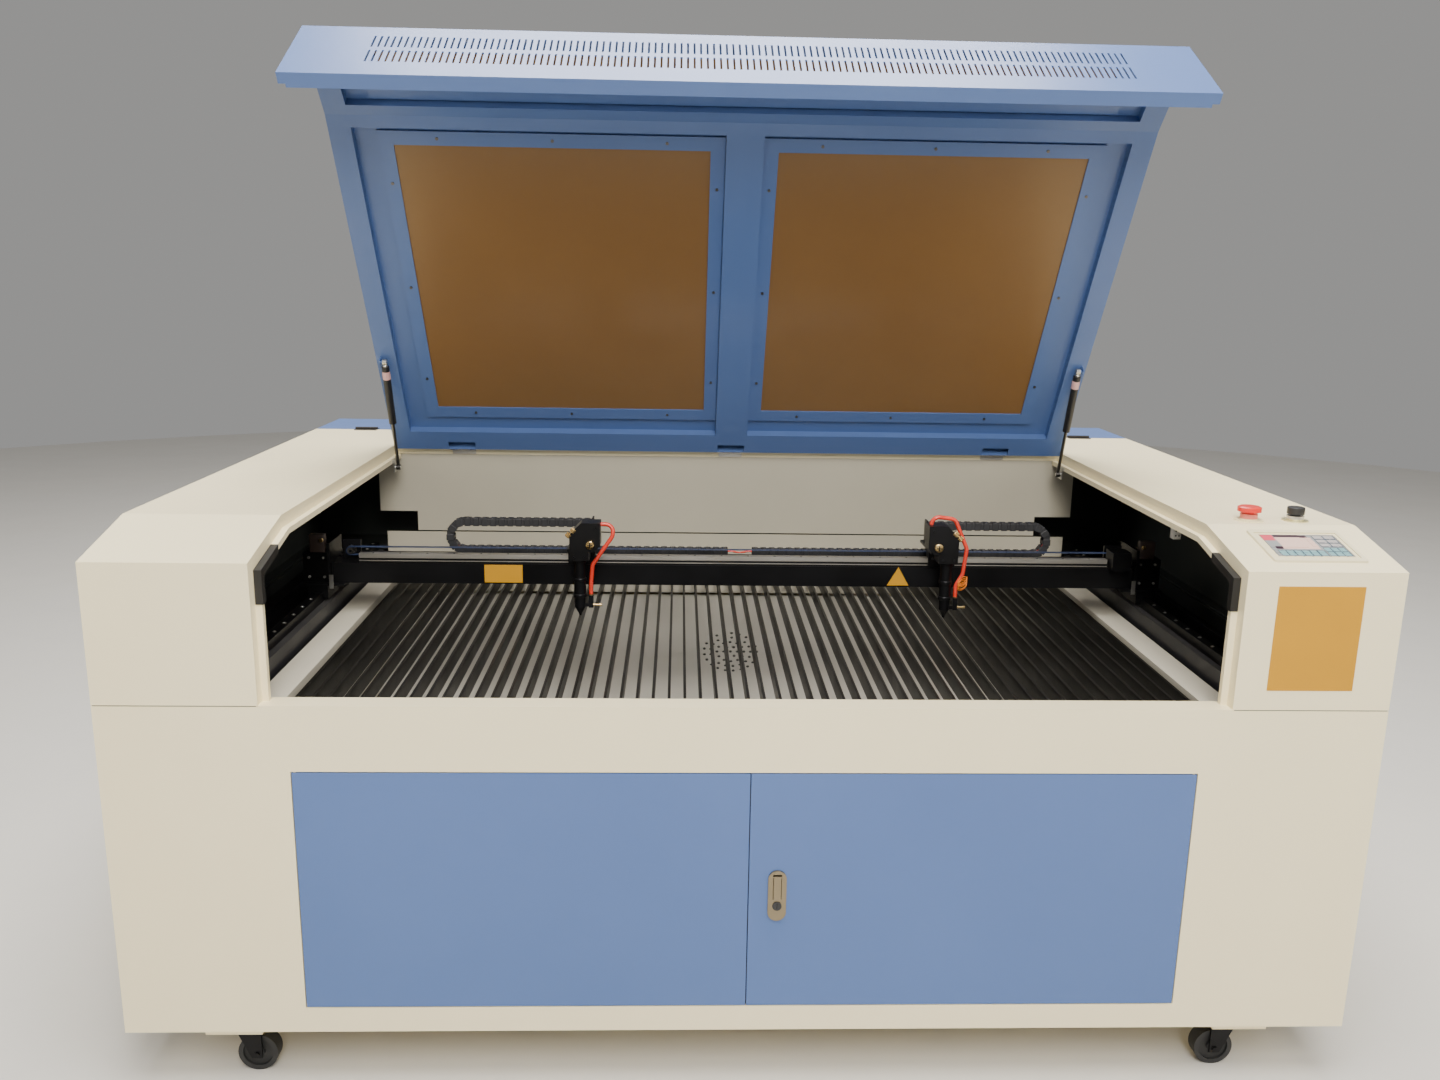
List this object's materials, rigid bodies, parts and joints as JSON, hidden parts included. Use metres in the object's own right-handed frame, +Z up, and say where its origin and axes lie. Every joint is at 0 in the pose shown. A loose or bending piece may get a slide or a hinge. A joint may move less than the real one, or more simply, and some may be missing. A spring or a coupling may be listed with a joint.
{
  "type": "laser cutter",
  "caption": "Gantry laser cutter for acrylic sheet: steel cabinet on casters, lid with amber windows open on gas struts, moving beam with laser heads over a blade table.",
  "frame": {"origin": "on the floor under the middle of the machine", "axes": "+X along the front to the right, +Y from the front to the rear, +Z up"},
  "size_m": [2.3, 1.618, 1.9555],
  "materials": {
    "cream_paint": "satin powder coat",
    "blue_paint": "satin powder coat",
    "grey_paint": "satin powder coat",
    "dark_sheet": "matt",
    "black_metal": "anodised black",
    "slat_metal": "black anodised strip",
    "hopper_sheet": "galvanised, dull",
    "rail_steel": "ground",
    "zinc_steel": "zinc plated",
    "chrome_metal": "satin chrome",
    "amber_acrylic": "tinted acrylic",
    "black_plastic": "moulded",
    "red_plastic": "moulded",
    "red_hose": "polyurethane hose",
    "black_rubber": "matt",
    "keypad_plastic": "membrane keypad in a cream bezel",
    "tube_glass": "clear tube"
  },
  "bodies": {
    "machine": {"cabinet_body": "cream_paint", "left_housing": "cream_paint", "right_housing": "cream_paint", "rear_housing": "cream_paint", "power_inlet": "black_plastic", "inner_back_panel": "grey_paint", "edge_trims": "black_rubber", "table_slats": "slat_metal", "table_frame": "cream_paint", "scrap_hopper": "hopper_sheet", "side_troughs": "dark_sheet", "y_guide_rails": "rail_steel", "hinges_fixed": "zinc_steel", "strut_brackets": "zinc_steel", "button_bases": "black_plastic", "control_panel": "keypad_plastic", "laser_tubes": "tube_glass"},
    "left_door": {"front_door_left": "blue_paint"},
    "right_door": {"front_door_right": "blue_paint", "door_lock_plate": "chrome_metal"},
    "lock_handle": {"door_lock_handle": "chrome_metal"},
    "lock_cam": {"lock_cylinder": "chrome_metal"},
    "tube_cover": {"rear_cover": "blue_paint"},
    "lid": {"lid_frame": "blue_paint", "lid_window_left": "amber_acrylic", "lid_window_right": "amber_acrylic", "lid_window_front": "amber_acrylic", "window_frames": "blue_paint", "window_screws": "zinc_steel", "lid_hinges_moving": "zinc_steel"},
    "left_rod": {"strut_rod_left": "chrome_metal"},
    "right_rod": {"strut_rod_right": "chrome_metal"},
    "left_cylinder": {"strut_cylinder_left": "black_metal"},
    "right_cylinder": {"strut_cylinder_right": "black_metal"},
    "gantry": {"gantry_beam": "black_metal", "x_guide_rail": "rail_steel", "end_carriages": "black_metal", "x_belt": "black_rubber", "belt_brackets": "black_metal", "x_motor": "black_metal", "drag_chain_left": "black_plastic", "drag_chain_right": "black_plastic"},
    "belt_drive": {"drive_pulley": "zinc_steel"},
    "belt_idler": {"idler_pulley": "zinc_steel"},
    "left_head": {"head_body_left": "black_metal", "air_hose_left": "red_hose"},
    "right_head": {"head_body_right": "black_metal", "air_hose_right": "red_hose"},
    "left_lens": {"lens_tube_left": "black_metal"},
    "right_lens": {"lens_tube_right": "black_metal"},
    "estop": {"estop_mushroom": "red_plastic"},
    "start_button": {"push_button": "black_plastic"},
    "front_left_fork": {"caster_fork_front_left": "black_metal"},
    "front_left_wheel": {"caster_wheel_front_left": "black_plastic"},
    "front_right_fork": {"caster_fork_front_right": "black_metal"},
    "front_right_wheel": {"caster_wheel_front_right": "black_plastic"},
    "rear_left_fork": {"caster_fork_rear_left": "black_metal"},
    "rear_left_wheel": {"caster_wheel_rear_left": "black_plastic"},
    "rear_right_fork": {"caster_fork_rear_right": "black_metal"},
    "rear_right_wheel": {"caster_wheel_rear_right": "black_plastic"}
  },
  "joints": [
    {"name": "lid_hinge", "type": "hinge", "parent": "machine", "child": "lid", "pos_m": [0, 0.285, 1.054], "axis": [1, 0, 0], "range_deg": [0, 58]},
    {"name": "left_strut_pivot", "type": "hinge", "parent": "machine", "child": "left_rod", "pos_m": [-0.839, 0.203, 1.015], "axis": [1, 0, 0], "range_deg": [0, 67.48]},
    {"name": "left_strut_slide", "type": "slide", "parent": "left_rod", "child": "left_cylinder", "axis": [0, -0.329, 0.9443], "range_m": [-0.07837, 0]},
    {"name": "right_strut_pivot", "type": "hinge", "parent": "machine", "child": "right_rod", "pos_m": [0.839, 0.203, 1.015], "axis": [1, 0, 0], "range_deg": [0, 67.48]},
    {"name": "right_strut_slide", "type": "slide", "parent": "right_rod", "child": "right_cylinder", "axis": [0, -0.329, 0.9443], "range_m": [-0.07837, 0]},
    {"name": "left_door_hinge", "type": "hinge", "parent": "machine", "child": "left_door", "pos_m": [-0.8089, -0.7984, 0.4], "axis": [0, 0, 1], "range_deg": [-105, 0]},
    {"name": "right_door_hinge", "type": "hinge", "parent": "machine", "child": "right_door", "pos_m": [0.8079, -0.7984, 0.4], "axis": [0, 0, 1], "range_deg": [0, 105]},
    {"name": "lock_handle_hinge", "type": "hinge", "parent": "right_door", "child": "lock_handle", "pos_m": [0.054, -0.805, 0.43], "axis": [1, 0, 0], "range_deg": [-80, 0]},
    {"name": "lock_cam_turn", "type": "hinge", "parent": "right_door", "child": "lock_cam", "pos_m": [0.054, -0.803, 0.374], "axis": [0, 1, 0], "range_deg": [-90, 0]},
    {"name": "rear_cover_hinge", "type": "hinge", "parent": "machine", "child": "tube_cover", "pos_m": [0, 0.572, 1.0636], "axis": [1, 0, 0], "range_deg": [0, 85]},
    {"name": "gantry_slide", "type": "slide", "parent": "machine", "child": "gantry", "axis": [0, 1, 0], "range_m": [-0.48, 0.36]},
    {"name": "left_head_slide", "type": "slide", "parent": "gantry", "child": "left_head", "axis": [1, 0, 0], "range_m": [-0.431, 0.317], "deforming": ["drag_chain_left"]},
    {"name": "right_head_slide", "type": "slide", "parent": "gantry", "child": "right_head", "axis": [1, 0, 0], "range_m": [-0.431, 0.317], "deforming": ["drag_chain_right"]},
    {"name": "left_lens_slide", "type": "slide", "parent": "left_head", "child": "left_lens", "axis": [0, 0, 1], "range_m": [-0.014, 0.01], "deforming": ["air_hose_left"]},
    {"name": "right_lens_slide", "type": "slide", "parent": "right_head", "child": "right_lens", "axis": [0, 0, 1], "range_m": [-0.014, 0.01], "deforming": ["air_hose_right"]},
    {"name": "drive_pulley_turn", "type": "hinge", "parent": "gantry", "child": "belt_drive", "pos_m": [0.87, -0.151, 0.883], "axis": [0, 1, 0], "continuous": true},
    {"name": "idler_pulley_turn", "type": "hinge", "parent": "gantry", "child": "belt_idler", "pos_m": [-0.87, -0.151, 0.883], "axis": [0, 1, 0], "continuous": true},
    {"name": "estop_push", "type": "slide", "parent": "machine", "child": "estop", "axis": [0, 0, 1], "range_m": [-0.004, 0]},
    {"name": "start_push", "type": "slide", "parent": "machine", "child": "start_button", "axis": [0, 0, 1], "range_m": [-0.003, 0], "stiffness_N_per_m": 600},
    {"name": "front_left_swivel", "type": "hinge", "parent": "machine", "child": "front_left_fork", "pos_m": [-0.955, -0.741, 0.099], "axis": [0, 0, 1], "continuous": true},
    {"name": "front_left_roll", "type": "hinge", "parent": "front_left_fork", "child": "front_left_wheel", "pos_m": [-0.928, -0.741, 0.0375], "axis": [0, 1, 0], "continuous": true},
    {"name": "front_right_swivel", "type": "hinge", "parent": "machine", "child": "front_right_fork", "pos_m": [0.955, -0.741, 0.099], "axis": [0, 0, 1], "continuous": true},
    {"name": "front_right_roll", "type": "hinge", "parent": "front_right_fork", "child": "front_right_wheel", "pos_m": [0.928, -0.741, 0.0375], "axis": [0, 1, 0], "continuous": true},
    {"name": "rear_left_swivel", "type": "hinge", "parent": "machine", "child": "rear_left_fork", "pos_m": [-0.955, 0.741, 0.099], "axis": [0, 0, 1], "continuous": true},
    {"name": "rear_left_roll", "type": "hinge", "parent": "rear_left_fork", "child": "rear_left_wheel", "pos_m": [-0.928, 0.741, 0.0375], "axis": [0, 1, 0], "continuous": true},
    {"name": "rear_right_swivel", "type": "hinge", "parent": "machine", "child": "rear_right_fork", "pos_m": [0.955, 0.741, 0.099], "axis": [0, 0, 1], "continuous": true},
    {"name": "rear_right_roll", "type": "hinge", "parent": "rear_right_fork", "child": "rear_right_wheel", "pos_m": [0.928, 0.741, 0.0375], "axis": [0, 1, 0], "continuous": true}
  ],
  "couplings": [
    {"joint": "left_strut_pivot", "follows": "lid_hinge", "ratio": 1.1633},
    {"joint": "left_strut_slide", "follows": "lid_hinge", "m_per_rad": -0.077407},
    {"joint": "right_strut_pivot", "follows": "lid_hinge", "ratio": 1.1633},
    {"joint": "right_strut_slide", "follows": "lid_hinge", "m_per_rad": -0.077407},
    {"joint": "right_head_slide", "follows": "left_head_slide", "ratio": 1},
    {"joint": "drive_pulley_turn", "follows": "left_head_slide", "rad_per_m": 115},
    {"joint": "idler_pulley_turn", "follows": "left_head_slide", "rad_per_m": 115}
  ]
}
